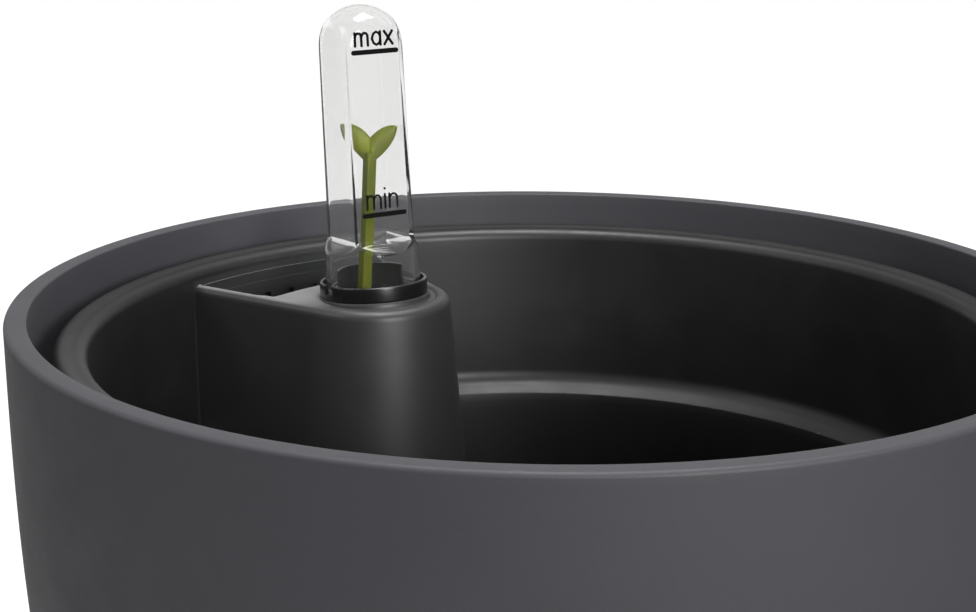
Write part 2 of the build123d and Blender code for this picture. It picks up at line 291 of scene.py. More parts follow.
class Nodes:
    """Short way to build a node tree."""

    def __init__(self, tree):
        self.tree = tree

    def add(self, kind, **settings):
        """New node with its settings."""
        node = self.tree.nodes.new(kind)
        for key, value in settings.items():
            setattr(node, key, value)
        return node

    def feed(self, socket, value):
        """Give an input a value or a link."""
        if isinstance(value, (int, float, tuple, Vector)):
            socket.default_value = value
        else:
            self.tree.links.new(value, socket)

    def maths(self, operation, first, second=0.0):
        """Result of a maths node on two values, each a number or a socket."""
        node = self.add("ShaderNodeMath", operation=operation)
        self.feed(node.inputs[0], first)
        self.feed(node.inputs[1], second)
        return node.outputs[0]

    def along(self, place, axis):
        """Length of a vector along an axis."""
        node = self.add("ShaderNodeVectorMath", operation="DOT_PRODUCT")
        self.feed(node.inputs[0], place)
        self.feed(node.inputs[1], axis)
        return node.outputs["Value"]

    def spread(self, value, low, high, from_low=0.0, from_high=1.0, kind="LINEAR"):
        """A value's range mapped onto low to high."""
        node = self.add("ShaderNodeMapRange", interpolation_type=kind)
        self.feed(node.inputs["Value"], value)
        node.inputs["From Min"].default_value = from_low
        node.inputs["From Max"].default_value = from_high
        node.inputs["To Min"].default_value = low
        node.inputs["To Max"].default_value = high
        return node.outputs["Result"]

    def window(self, direction, towards, low, high):
        """0 to 1 as a direction's part along an axis goes from low to high."""
        return self.spread(self.along(direction, towards), 0.0, 1.0, low, high, "SMOOTHSTEP")

    def mix(self, factor, first, second):
        """Mix of two shaders."""
        node = self.add("ShaderNodeMixShader")
        for socket, value in zip(node.inputs, (factor, first, second)):
            self.feed(socket, value)
        return node.outputs[0]


class Look(Nodes):
    """Short way to build a material round one Principled shader."""

    def __init__(self, name):
        self.material = bpy.data.materials.new(name)
        self.material.use_nodes = True
        super().__init__(self.material.node_tree)
        self.shader = self.tree.nodes["Principled BSDF"]
        self.surface = self.tree.nodes["Material Output"].inputs["Surface"]
        self.place = self.add("ShaderNodeTexCoord").outputs["Object"]

    def noise(self, scale, detail=4.0, roughness=0.5):
        """Noise in the object's own space, with its scale per metre."""
        node = self.add("ShaderNodeTexNoise")
        node.inputs["Scale"].default_value = scale
        node.inputs["Detail"].default_value = detail
        node.inputs["Roughness"].default_value = roughness
        self.feed(node.inputs["Vector"], self.place)
        return node.outputs["Fac"]

    def blend(self, factor, low, high):
        """Mix of two colours, each a tuple or a socket."""
        node = self.add("ShaderNodeMix", data_type="RGBA")
        self.feed(node.inputs["Factor"], factor)
        for value, key in ((low, 6), (high, 7)):
            self.feed(node.inputs[key], (*value, 1.0) if isinstance(value, tuple) else value)
        return node.outputs[2]

    def bump(self, height, distance, strength=1.0, normal=None):
        """Normal with a bump of a depth in metres, on top of another normal."""
        node = self.add("ShaderNodeBump")
        node.inputs["Strength"].default_value = strength
        node.inputs["Distance"].default_value = distance
        self.feed(node.inputs["Height"], height)
        if normal:
            self.feed(node.inputs["Normal"], normal)
        return node.outputs["Normal"]

    def set(self, key, value):
        """Give one of the shader's inputs a value or a link."""
        self.feed(self.shader.inputs[key], value)


def moulded_plastic(name, colour, roughness, grain=0.00003, grain_scale=2600.0, edge=1.25):
    """Moulded plastic: eroded grain, faint flow clouds, uneven gloss, and paler edges that are partly
    wear and partly painted highlight.
    """
    m = Look(name)
    clouds = m.noise(9.0, 5.0, 0.6)
    dark = tuple(0.93 * c for c in colour)
    light = tuple(1.07 * c for c in colour)
    body = m.blend(m.spread(clouds, 0.0, 1.0, 0.3, 0.7), dark, light)
    # paler convex edges: partly wear, partly a painted highlight along the edges
    wear_and_edge_highlight = m.add("ShaderNodeNewGeometry").outputs["Pointiness"]
    wear_and_edge_highlight = m.spread(wear_and_edge_highlight, 0.0, 1.0, 0.52, 0.60)
    m.set("Base Color", m.blend(wear_and_edge_highlight, body, tuple(edge * c for c in colour)))
    scuffs = m.noise(55.0, 6.0, 0.65)
    m.set("Roughness", m.spread(scuffs, roughness - 0.05, roughness + 0.05, 0.3, 0.7))
    fine = m.bump(m.noise(grain_scale, 2.0, 0.6), grain)
    m.set("Normal", m.bump(m.noise(420.0, 3.0, 0.5), grain * 0.8, 0.6, fine))
    return m


def clear_plastic(name):
    """Clear moulded plastic: darker where it is seen edge on, with a faint milky veil."""
    m = Look(name)
    facing = m.add("ShaderNodeLayerWeight")
    facing.inputs["Blend"].default_value = 0.5
    edge_on = m.spread(facing.outputs["Facing"], 0.0, 1.0, 0.72, 0.97)
    edge_on = m.maths("MULTIPLY", edge_on, m.add("ShaderNodeLightPath").outputs["Is Camera Ray"])
    m.set("Base Color", m.blend(edge_on, (0.92, 0.92, 0.915), (0.42, 0.42, 0.42)))
    m.set("IOR", 1.49)
    m.set("Specular Tint", (0.6, 0.6, 0.6, 1.0))
    m.set("Transmission Weight", 1.0)
    m.set("Roughness", m.spread(m.noise(70.0, 3.0), 0.0, 0.03, 0.35, 0.75))
    m.set("Normal", m.bump(m.noise(95.0, 2.0), 0.00002, 0.5))
    milk = m.add("ShaderNodeBsdfTranslucent")
    milk.inputs["Color"].default_value = (0.6, 0.6, 0.6, 1.0)
    depth = m.add("ShaderNodeLightPath").outputs["Transmission Depth"]
    haze = m.spread(depth, near_haze, far_haze, 1.0, 2.0)
    veiled = m.mix(haze, m.shader.outputs[0], milk.outputs[0])
    thin = m.add("ShaderNodeBsdfTransparent")
    thin.inputs["Color"].default_value = (0.93, 0.94, 0.94, 1.0)
    in_shadow = m.add("ShaderNodeLightPath").outputs["Is Shadow Ray"]
    m.feed(m.surface, m.mix(in_shadow, veiled, thin.outputs[0]))
    return m


def felt(name):
    """Needled textile: tangled fibres, soft sheen and slightly stained colour."""
    m = Look(name)
    fibres = m.noise(900.0, 8.0, 0.75)
    stains = m.noise(45.0, 4.0, 0.6)
    pale = m.blend(m.spread(fibres, 0.0, 1.0, 0.3, 0.7), (0.42, 0.40, 0.35), (0.72, 0.70, 0.64))
    m.set("Base Color", m.blend(m.spread(stains, 0.0, 0.5, 0.45, 0.7), pale, (0.45, 0.40, 0.31)))
    m.set("Roughness", 0.95)
    m.set("Sheen Weight", 0.35)
    m.set("Normal", m.bump(fibres, 0.0004))
    return m


def tower_tone_and_painted_light(m):
    """Paler tone on the tower than on the liner's polished walls, a painted reflection on its deck and
    painted shade below the ledge.
    """
    # loss of the flanks' flare, per metre below the deck
    flare_loss = 6.0
    outwards = m.along(m.place, outward(tower_azimuth))
    outwards = m.maths("SUBTRACT", outwards, tower_distance * MM)
    across = m.along(m.place, outward(tower_azimuth + 90))
    level = m.along(m.place, up)
    depth = m.maths("SUBTRACT", deck_level * MM, level)
    inwards = m.maths("MINIMUM", outwards, 0.0)
    squares = m.maths("MULTIPLY", inwards, inwards)
    squares = m.maths("ADD", squares, m.maths("MULTIPLY", across, across))
    distance = m.maths("SQRT", squares)
    flare = m.maths("MAXIMUM", outwards, 0.0)
    flare = m.maths("MULTIPLY", flare, math.tan(math.radians(flank_angle)))
    kept_flare = m.maths("SUBTRACT", 1.0, m.maths("MULTIPLY", depth, flare_loss))
    flare = m.maths("MULTIPLY", flare, kept_flare)
    draft = m.maths("MULTIPLY", depth, math.tan(math.radians(tower_draft)))
    edge = m.maths("ADD", m.maths("ADD", flare, draft), (nose_radius + 1.0) * MM)
    inside = m.spread(m.maths("SUBTRACT", edge, distance), 0.0, 1.0, -0.001, 0.001)
    mask = m.maths("MULTIPLY", inside, m.spread(depth, 0.0, 1.0, -0.002, -0.001))
    plain = m.shader.inputs["Base Color"].links[0].from_socket
    tower_toned = m.blend(mask, plain, tower_tone)
    # painted reflection of the backdrop: the deck's upward faces behind the gauge are made paler
    upwards = m.along(m.add("ShaderNodeNewGeometry").outputs["Normal"], up)
    painted_deck_reflection = m.maths("MULTIPLY", mask, m.spread(upwards, 0.0, 1.0, 0.75, 0.95))
    behind = m.spread(outwards, 0.12, 1.0, -0.004, 0.012)
    painted_deck_reflection = m.maths("MULTIPLY", painted_deck_reflection, behind)
    m.set("Base Color", m.blend(painted_deck_reflection, tower_toned, deck_reflection_tone))
    # painted shade: less gloss on the wall below the ledge, where the front rim shades it
    gloss_with_painted_shade = m.spread(level, 0.24, 0.5, ledge_level * MM - 0.004, ledge_level * MM)
    m.set("Specular IOR Level", gloss_with_painted_shade)


pot_plastic = moulded_plastic("pot_plastic", (0.034, 0.033, 0.039), 0.6)
liner_plastic = moulded_plastic("liner_plastic", (0.0045, 0.0045, 0.0045), 0.48, 0.00001)
collar_plastic = moulded_plastic("collar_plastic", (0.006, 0.006, 0.006), 0.25, 0.000008)
tower_tone_and_painted_light(liner_plastic)
plug_plastic = moulded_plastic("plug_plastic", (0.03, 0.03, 0.032), 0.5)
seal_rubber = moulded_plastic("seal_rubber", (0.018, 0.017, 0.017), 0.75, 0.00005, 1800.0, 1.1)
float_plastic = moulded_plastic("float_plastic", (0.72, 0.72, 0.69), 0.4)
sprout_plastic = moulded_plastic("sprout_plastic", (0.052, 0.060, 0.001), 0.5, 0.00002, 2000.0, 1.9)
sprout_plastic.set("Specular IOR Level", 0.15)
print_ink = moulded_plastic("print_ink", (0.003, 0.003, 0.003), 0.85, 0.000005)
print_ink.set("Specular IOR Level", 0.1)
tube_plastic = clear_plastic("tube_plastic")
wick_felt = felt("wick_felt")


def dress(obj, look, slot, body=None, *nodes):
    """Give a piece its material, and ride it on its body in place of CAD nodes; the slot name is not
    used.
    """
    obj.data.materials.clear()
    obj.data.materials.append(look.material)
    if body:
        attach(obj, body)
    if nodes:
        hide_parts(*nodes)
    return obj


# ---------- outer pot ----------
def pot_wall_points(top_radius, bottom_radius, bottom, lip_round):
    """The wall's curve from the rim down to a radius at a level, started below the lip's round."""
    step = rim_taper * pot_height / 3
    third = (pot_height - bottom) / 3
    high_hint = (top_radius - step, pot_height - third)
    low_hint = (top_radius - 2 * step, pot_height - 2 * third)
    curve = bezier((top_radius, pot_height), high_hint, low_hint, (bottom_radius, bottom), 72)
    return [p for p in curve if p[1] < pot_height - lip_round]


def build_outer_pot():
    """Outer pot with a rounded lip, a curved wall and a recessed foot with its drain bore."""
    lip_inner = rim_radius - lip_width
    centre = (rim_radius - lip_outer_round, pot_height - lip_outer_round)
    outline = arc(centre, lip_outer_round, 90, 0, 10)
    outline += pot_wall_points(rim_radius, foot_radius, 0.0, lip_outer_round)[:-1]
    outline += arc((foot_radius - 2.2, 2.0), 2.0, -10, -90, 6)
    outline += arc((foot_recess_radius + 1.2, 1.2), 1.2, -90, -180, 5)
    outline += arc((foot_recess_radius - 1.0, foot_recess_depth - 1.0), 1.0, 0, 90, 5)
    outline += [(drain_radius, foot_recess_depth), (drain_radius, pot_floor)]
    inside = pot_wall_points(lip_inner, foot_radius - 2.5, pot_floor, lip_inner_round)
    outline += [(foot_radius - 8.0, pot_floor)] + inside[::-1][1:]
    centre = (lip_inner + lip_inner_round, pot_height - lip_inner_round)
    outline += arc(centre, lip_inner_round, 180, 90, 6)
    pot = lathe("outer_pot_shell", outline)
    return dress(pot, pot_plastic, "pot_wall", "pot", "outer_pot")


# ---------- liner ----------
def ledge_edge(grow=0.0):
    """Inner edge of the sloping ledge, where the wall drops on towards the floor."""
    rise = (ledge_round + grow) * (1 - math.cos(math.radians(ledge_slope)))
    run = (ledge_round + grow) * math.sin(math.radians(ledge_slope))
    level = ledge_level - grow + rise - run * math.tan(math.radians(ledge_slope))
    return (ledge_radius, level)


def inside_profile(grow, floor_level):
    """Outline of the room inside the liner, from its floor up to the flange, grown outwards."""
    centre = (ledge_radius, ledge_level + ledge_round)
    ledge = arc(centre, ledge_round + grow, ledge_slope - 90, 0, 10)
    outline = [(0, floor_level)]
    outline += stretch((liner_floor_radius + grow, floor_level), ledge_edge(grow), 14)
    outline += [ledge_edge(grow)] + ledge
    outline += stretch(ledge[-1], (wall_top_radius + grow, wall_top), 10)[1:]
    outline += [(wall_top_radius + grow, wall_top), (0, wall_top)]
    return outline


def liner_shell():
    """Liner without its tower: floor, wall with a sloping ledge, and the dished flange."""
    centre = (ledge_radius, ledge_level + ledge_round)
    ledge = arc(centre, ledge_round, ledge_slope - 90, 0, 12)
    edge = ledge_edge()
    lip = [(edge[0] - 0.05, edge[1] - 0.35), (edge[0] + 0.02, edge[1] - 0.08)]
    lip += [(edge[0] + 0.3, edge[1] + 0.16)]
    corner = arc((liner_floor_radius - 8.5, liner_floor + 8.0), 8.0, -90, -6.5, 8)
    shoulder_centre = (wall_top_radius + shoulder_round, wall_top)
    shoulder = arc(shoulder_centre, shoulder_round, 180, 90, 10)
    bead_round = flange_radius - flange_bead_radius
    outline = [(0, liner_floor)] + corner
    outline += stretch(corner[-1], lip[0], 16)[1:]
    outline += lip + ledge
    outline += stretch(ledge[-1], shoulder[0], 12)[1:]
    outline += shoulder
    bead_start = (flange_bead_radius, flange_top)
    low_hint = (flange_bead_radius - 2.2, flange_top - 0.7)
    high_hint = (flange_bead_radius - 1.2, flange_top - 0.03)
    outline += bezier(shoulder[-1], low_hint, high_hint, bead_start, 8)[1:-1]
    outline += arc((flange_bead_radius, flange_top - bead_round), bead_round, 90, 0, 10)
    outline += [(flange_radius, flange_edge + 0.5), (flange_radius - 0.5, flange_edge)]
    outline += [(flange_radius - liner_wall + 0.4, flange_edge)]
    outline += [(flange_radius - liner_wall, flange_edge + 0.4)]
    outline += [(flange_radius - liner_wall, wall_top + 0.4), (132.0, wall_top + 0.4)]
    under = arc((ledge_radius, ledge_level + ledge_round), ledge_round + liner_wall, 0, -74.4, 10)
    outline += stretch((wall_top_radius + liner_wall, wall_top - 1.0), under[0], 12)
    outline += under
    floor_edge = (liner_floor_radius + liner_wall, liner_floor - liner_wall + 6)
    outline += stretch(under[-1], floor_edge, 14)[1:]
    outline += arc((floor_edge[0] - 6.0, floor_edge[1]), 6.0, 0, -90, 6)
    outline += [(0, liner_floor - liner_wall)]
    return lathe("liner_shell", outline)


def keyhole(radius, level):
    """Plan of the tower at a level: a round nose and two flanks spreading towards the wall."""
    depth = (deck_level - level) / (deck_level - liner_floor)
    angle = flank_angle + (flank_floor_angle - flank_angle) * max(depth, 0.0)
    half = 90 - angle
    reach = 62.0
    nose = arc((tower_distance, 0), radius, 180 - half, 180 + half, 72)
    slope = (math.cos(math.radians(angle)), math.sin(math.radians(angle)))
    upper_end = (nose[0][0] + reach * slope[0], nose[0][1] + reach * slope[1])
    lower_end = (nose[-1][0] + reach * slope[0], nose[-1][1] - reach * slope[1])
    loop = stretch(upper_end, nose[0], 16) + nose
    loop += stretch(nose[-1], lower_end, 16)[1:] + [lower_end]
    return [(x, y, level) for x, y in loop]


def spread_at(level, top):
    """How much wider the tower is at a level than at its top, from its draft."""
    return (top - level) * math.tan(math.radians(tower_draft))


def tower_solid():
    """Outside of the tower, with a rounded upper edge and a fine groove round its deck."""
    bottom = liner_floor - 1.0
    edge_round = 3.0
    loops = []
    levels = 22
    for i in range(levels + 1):
        level = bottom + (deck_level - edge_round - bottom) * i / levels
        loops.append(keyhole(nose_radius + spread_at(level, deck_level), level))
    side = nose_radius + spread_at(deck_level - edge_round, deck_level)
    for inset, level in arc((edge_round, deck_level - edge_round), edge_round, 170, 80, 9)[1:]:
        loops.append(keyhole(side - inset, level))
    groove = ((3.9, -0.12), (4.35, -0.55), (4.7, -0.75), (5.1, -0.6), (5.6, -0.55))
    for inset, level in groove:
        loops.append(keyhole(side - inset, deck_level + level))
    tower = loft("tower", loops, tower_frame)
    return boolean(tower, lathe("tower_limit", inside_profile(0.9, liner_floor - 0.9)), "INTERSECT")


def tower_cavity():
    """Hollow inside the tower, open from below."""
    top = deck_level - deck_thickness
    bottom = liner_floor - 3 * liner_wall
    loops = []
    for i in range(13):
        level = bottom + (top - bottom) * i / 12
        radius = nose_radius - liner_wall + spread_at(level, top)
        loops.append(keyhole(radius, level))
    cavity = loft("cavity", loops, tower_frame)
    limit = inside_profile(-0.3, liner_floor - 4 * liner_wall)
    return boolean(cavity, lathe("cavity_limit", limit), "INTERSECT")


def filler_cutter():
    """Prism of the filler opening: an arc-edged slot between the tower's flanks."""
    side = nose_radius - liner_wall
    tangent = math.radians(flank_angle)
    start_x = tower_distance - side * math.sin(tangent)
    start_y = side * math.cos(tangent)

    def flank_turn(radius):
        """Angle at which a circle about the pot's axis meets the inside of a flank."""
        low, high = 0.0, 40.0
        for _ in range(40):
            middle = (low + high) / 2
            x = radius * math.cos(math.radians(middle))
            y = radius * math.sin(math.radians(middle))
            inside = y < start_y + (x - start_x) * math.tan(tangent)
            low, high = (middle, high) if inside else (low, middle)
        return low

    def round_end(line, wall_turn):
        """Round the corner between the end of a line and the flank that runs on to the wall."""
        corner = line[-1]
        turn = math.radians(wall_turn)
        along = Vector((math.cos(turn), math.sin(turn))) * (wall_top_radius - 0.4) - Vector(corner)
        after = Vector(corner) + along.normalized() * filler_corner_round
        kept = [p for p in line if (Vector(p) - Vector(corner)).length > filler_corner_round]
        start = Vector(kept[-1])
        turns = [i / 8 for i in range(1, 9)]
        rounded = [
            (1 - t) ** 2 * start + 2 * t * (1 - t) * Vector(corner) + t * t * after for t in turns
        ]
        return kept + [tuple(p) for p in rounded]

    near, far = flank_turn(filler_radius), flank_turn(wall_top_radius - 0.4)
    plan = arc((0, 0), filler_radius, near, -near, 40)
    plan = round_end(plan[::-1], far)[::-1]
    plan = round_end(plan, -far)
    plan += arc((0, 0), wall_top_radius - 0.4, -far, far, 40)
    loops = [[(x, y, level) for x, y in plan] for level in (deck_level - 4.0, deck_level + 4.0)]
    return loft("filler_cutter", loops, tower_frame)


def rounded_slot(name, placed, length, width, low, high, corner):
    """Upright prism with a rounded rectangular plan, centred on a frame's origin."""
    plan = []
    x, y = length / 2 - corner, width / 2 - corner
    for turn, (cx, cy) in enumerate(((x, y), (-x, y), (-x, -y), (x, -y))):
        plan += arc((cx, cy), corner, 90 * turn, 90 * turn + 90, 6)
    loops = [[(px, py, level) for px, py in plan] for level in (low, high)]
    return loft(name, loops, placed)


def build_liner():
    """Planting liner: shell, tower, gauge seat and legs, then everything that is cut out of them."""
    liner = liner_shell()
    boolean(liner, tower_solid(), "UNION")
    seat_edge = seat_radius + seat_flare
    seat = [(0, -5.0), (seat_edge, -5.0), (seat_edge, -2.6)]
    seat += arc((seat_edge, -0.6), 2.0, 270, 180, 8)
    seat += [(seat_radius, -0.2), (seat_radius - 0.2, 0), (0, 0)]
    boolean(liner, lathe("seat", seat, gauge_frame, 144), "UNION")
    for azimuth_offset in leg_offsets:
        foot = outward(tower_azimuth + azimuth_offset, leg_circle)
        leg_frame = Matrix.Translation(foot)
        top = liner_floor - 1.0
        leg = [(0, top), (0, pot_floor + 0.1)]
        leg += [(8.4, pot_floor + 0.1), (9.0, pot_floor + 0.7), (11.0, top)]
        boolean(liner, lathe("leg", leg, leg_frame, 72), "UNION")
    boolean(liner, tower_cavity(), "DIFFERENCE")
    boolean(liner, filler_cutter(), "DIFFERENCE")
    recess = [(0, 0), (collar_radius + 0.3, 0), (collar_radius + 0.3, 4.0), (0, 4.0)]
    boolean(liner, lathe("recess", recess, gauge_frame, 144), "DIFFERENCE")
    bore = [(0, -12.0), (sleeve_radius + 0.3, -12.0), (sleeve_radius + 0.3, 3.0), (0, 3.0)]
    boolean(liner, lathe("bore", bore, gauge_frame, 144), "DIFFERENCE")
    for step in (-1, 0, 1):
        azimuth = vent_azimuth + step * vent_spacing
        place = axes_frame(outward(azimuth, wall_top_radius), outward(azimuth), up)
        low = vent_top - vent_height
        vent = rounded_slot("vent", place, 10.0, vent_width, low, vent_top, 0.4)
        boolean(liner, vent, "DIFFERENCE")
    for azimuth_offset in wick_offsets:
        azimuth = tower_azimuth + azimuth_offset
        place = axes_frame(outward(azimuth, wick_circle), outward(azimuth), up)
        low, high = liner_floor - 5.0, liner_floor + 5.0
        slot = rounded_slot("wick_slot", place, wick_thickness + 2, wick_width + 2, low, high, 1.0)
        boolean(liner, slot, "DIFFERENCE")
    for azimuth_offset in leg_offsets:
        place = Matrix.Translation(outward(tower_azimuth + azimuth_offset, leg_circle))
        hollow = [(0, 0), (6.8, 0), (8.6, liner_floor - 3.0), (0, liner_floor - 3.0)]
        boolean(liner, lathe("leg_hollow", hollow, place, 72), "DIFFERENCE")
    holes = [outward(tower_azimuth + 60 * i, 30.0) for i in range(6)]
    holes += [outward(tower_azimuth + 40 + 28 * i, 92.0) for i in range(11)]
    for centre in holes:
        low, high = liner_floor - 5.0, liner_floor + 5.0
        hole = [(0, low), (air_hole_radius, low), (air_hole_radius, high), (0, high)]
        boolean(liner, lathe("air_hole", hole, Matrix.Translation(centre), 32), "DIFFERENCE")
    liner.name = "planting_liner"
    return dress(liner, liner_plastic, "liner", "liner", "liner")


# ---------- gauge ----------
def build_sleeve():
    """Collar with its notch and guard wall, on the guide tube with its water inlets."""
    outline = arc((collar_radius - 0.5, collar_height - 0.5), 0.5, 0, 90, 5)
    outline += arc((collar_bore + 0.4, collar_height - 0.4), 0.4, 90, 180, 4)
    outline += [(collar_bore, collar_floor + 0.4), (collar_bore - 0.4, collar_floor)]
    outline += arc((collar_inside + 0.3, collar_floor - 0.3), 0.3, 90, 180, 3)
    outline += [(collar_inside, -1.5), (sleeve_bore, -3.0), (sleeve_bore, -sleeve_depth)]
    outline += [(sleeve_radius, -sleeve_depth), (sleeve_radius, -0.3), (sleeve_radius + 0.3, 0)]
    outline += [(collar_radius - 0.4, 0), (collar_radius, 0.4)]
    sleeve = lathe("gauge_sleeve_body", outline, gauge_frame, 144)
    plan = arc((0, 0), guard_radius, guard_start, guard_end, 48)
    plan += arc((0, 0), collar_inside + 0.02, guard_end, guard_start, 48)
    loops = [[(x, y, level) for x, y in plan] for level in (collar_floor - 0.4, guard_height)]
    boolean(sleeve, loft("guard", loops, gauge_frame), "UNION")
    turned = gauge_frame @ Matrix.Rotation(math.radians(notch_angle), 4, "Z")
    notch = turned @ Matrix.Translation((collar_radius, 0, 0))
    cutter = rounded_slot("notch", notch, 4.0, 4.0, collar_floor + 0.5, collar_height + 3.0, 0.6)
    boolean(sleeve, cutter, "DIFFERENCE")
    low = 6 - sleeve_depth
    for length, width in ((2 * sleeve_radius + 2, 4.0), (4.0, 2 * sleeve_radius + 2)):
        inlet = rounded_slot("inlet", gauge_frame, length, width, low, low + 20, 0.8)
        boolean(sleeve, inlet, "DIFFERENCE")
    return dress(sleeve, collar_plastic, "collar", "gauge", "gauge_sleeve")


def tube_radius(height, turn, inset):
    """Radius of the tube at a height and an angle: a tapered round with four flats and a dome."""
    dome_start = tube_height - tube_top_radius
    taper = (tube_foot_radius - tube_top_radius) / dome_start
    if height <= dome_start:
        round_part = tube_foot_radius - taper * height - inset
    else:
        top = tube_top_radius - inset
        round_part = math.sqrt(max(top * top - (height - dome_start) ** 2, 0.0))
    quarter = (turn + math.pi / 4) % (math.pi / 2) - math.pi / 4
    if height < tube_shoulder_start:
        return round_part
    flat_distance = tube_flat - inset
    if height < tube_flat_start:
        fall = (tube_flat_start - height) / (tube_flat_start - tube_shoulder_start)
        if fall < shoulder_eased:
            spread = fall * fall / (2 * shoulder_eased)
        else:
            spread = fall - shoulder_eased / 2
        full_spread = tube_foot_radius - tube_flat + 0.3
        flat_distance += full_spread * spread / (1 - shoulder_eased / 2)
    flat = flat_distance / math.cos(quarter)
    gap = min(abs(flat - round_part) / corner_blend, 1.0)
    return min(flat, round_part) - corner_blend * (1 - gap) ** 2 / 4


def tube_skin(inset, around, heights, flange=False):
    """Rings of points of one skin of the tube, from its open foot to the top of its dome."""
    rings = []
    turns = [2 * math.pi * i / around for i in range(around)]
    if flange:
        low, high = heights[0], heights[0] + tube_flange_height
        edge = [(tube_flange_radius - 0.2, low), (tube_flange_radius, low + 0.2)]
        edge += [(tube_flange_radius, high - 0.2), (tube_flange_radius - 0.2, high)]
        edge += [(tube_foot_radius + 0.3, high), (tube_foot_radius, high + 0.3)]
        for radius, height in edge:
            rings.append([(radius * math.cos(t), radius * math.sin(t), height) for t in turns])
        heights = [height for height in heights if height > high + 0.4]
    for height in heights:
        ring = []
        for t in turns:
            radius = tube_radius(height, t, inset)
            ring.append((radius * math.cos(t), radius * math.sin(t), height))
        rings.append(ring)
    return rings


def build_tube():
    """Clear tube, open below, from an outer and an inner skin joined at the foot."""
    base = collar_floor + 0.1
    around = 384
    dome_rings = 28
    margin = 0.4
    low_end, high_end = tube_shoulder_start - margin, tube_flat_start + margin
    dome_start = tube_height - tube_top_radius

    def heights(top_radius):
        """Heights of the rings, closest together in the shoulder below the flats."""
        levels = ((base, low_end, 14), (low_end, high_end, 46), (high_end, dome_start, 80))
        straight = [low + (high - low) * i / count for low, high, count in levels for i in range(count)]
        turns = [math.pi / 2 * i / dome_rings for i in range(dome_rings)]
        return straight + [dome_start + top_radius * math.sin(turn) for turn in turns]

    outer = tube_skin(0.0, around, heights(tube_top_radius), flange=True)
    inner = tube_skin(tube_wall, around, heights(tube_top_radius - tube_wall))
    points, faces = [], []
    for rings, top in ((outer, tube_top_radius), (inner, tube_top_radius - tube_wall)):
        first = len(points)
        for ring in rings:
            points += ring
        for k in range(len(rings) - 1):
            for i in range(around):
                j = (i + 1) % around
                low, high = first + k * around, first + (k + 1) * around
                quad = [low + i, low + j, high + j, high + i]
                faces.append(quad if rings is outer else quad[::-1])
        pole = len(points)
        points.append((0, 0, dome_start + top))
        last = first + (len(rings) - 1) * around
        for i in range(around):
            j = (i + 1) % around
            cap = [last + i, last + j, pole]
            faces.append(cap if rings is outer else cap[::-1])
    second = len(outer) * around + 1
    for i in range(around):
        j = (i + 1) % around
        faces.append([j, i, second + i, second + j])
    tube = add_mesh("gauge_tube_clear", points, faces, gauge_frame, 60.0)
    return dress(tube, tube_plastic, "clear_tube", "gauge", "gauge_tube")


def ribbon(points, half_width, thickness):
    """Flat printed stroke with round ends along a line of points in a plane."""
    left, right = [], []
    for k, (x, y) in enumerate(points):
        before = points[max(k - 1, 0)]
        after = points[min(k + 1, len(points) - 1)]
        angle = math.atan2(after[1] - before[1], after[0] - before[0])
        dx, dy = -math.sin(angle) * half_width, math.cos(angle) * half_width
        left.append((x + dx, y + dy))
        right.append((x - dx, y - dy))

    def heading(here, there):
        """Direction from one point to another, in degrees."""
        return math.degrees(math.atan2(there[1] - here[1], there[0] - here[0]))

    start_angle, end_angle = heading(*points[:2]), heading(*points[-2:])
    outline = right + arc(points[-1], half_width, end_angle - 90, end_angle + 90, 8)[1:-1]
    outline += left[::-1] + arc(points[0], half_width, start_angle + 90, start_angle + 270, 8)[1:-1]
    return [[(x, y, z) for x, y in outline] for z in (0.0, thickness)]


LETTER_STROKES = {
    "m": [
        [(0.0, 0.0), (0.0, 1.0)],
        [(0.0, 0.62), (0.08, 0.86), (0.26, 0.98), (0.44, 0.93), (0.54, 0.76), (0.55, 0.0)],
        [(0.55, 0.62), (0.63, 0.86), (0.81, 0.98), (0.99, 0.93), (1.09, 0.76), (1.10, 0.0)],
    ],
    "a": [
        [(0.72, 0.0), (0.72, 1.0)],
        [
            (0.72, 0.62), (0.62, 0.88), (0.38, 1.0), (0.14, 0.86), (0.0, 0.5),
            (0.14, 0.14), (0.38, 0.0), (0.62, 0.12), (0.72, 0.38),
        ],
    ],
    "x": [[(0.0, 0.0), (0.68, 1.0)], [(0.0, 1.0), (0.68, 0.0)]],
    "i": [[(0.0, 0.0), (0.0, 1.0)], [(-0.01, 1.42), (0.01, 1.42)]],
    "n": [
        [(0.0, 0.0), (0.0, 1.0)],
        [(0.0, 0.62), (0.09, 0.86), (0.30, 0.99), (0.51, 0.93), (0.62, 0.76), (0.63, 0.0)],
    ],
}
LETTER_WIDTH = {"m": 1.10, "a": 0.72, "x": 0.68, "i": 0.0, "n": 0.63}


def build_mark(name, word, bar_height, letter_height, stroke, bar):
    """A generic level mark on the front flat: a bar with a short word over it."""
    face = gauge_frame @ Matrix.Rotation(math.radians(90), 4, "X")
    placed = face @ Matrix.Translation((0, 0, tube_flat + print_lift))
    gap = letter_gap * letter_height
    widths = [LETTER_WIDTH[letter] * letter_height for letter in word]
    start = -(sum(widths) + gap * (len(word) - 1)) / 2 + word_shift
    points, faces = [], []

    def add_stroke(line, half_width):
        """Add one printed stroke to the mark's mesh."""
        loops = ribbon(line, half_width, print_thickness)
        count, first = len(loops[0]), len(points)
        for loop in loops:
            points.extend(loop)
        for i in range(count):
            j = (i + 1) % count
            faces.append([first + i, first + j, first + count + j, first + count + i])
        faces.append([first + i for i in range(count)][::-1])
        faces.append([first + count + i for i in range(count)])

    add_stroke([(end, bar_height) for end in bar], bar_half_width)
    base = bar_height + word_rise
    for letter, width in zip(word, widths):
        for line in LETTER_STROKES[letter]:
            line = [(start + x * letter_height, base + y * letter_height) for x, y in line]
            add_stroke(line, stroke / 2)
        start += width + gap
    mark = add_mesh(name, points, faces, placed, 60.0)
    return dress(mark, print_ink, "collar", "gauge")


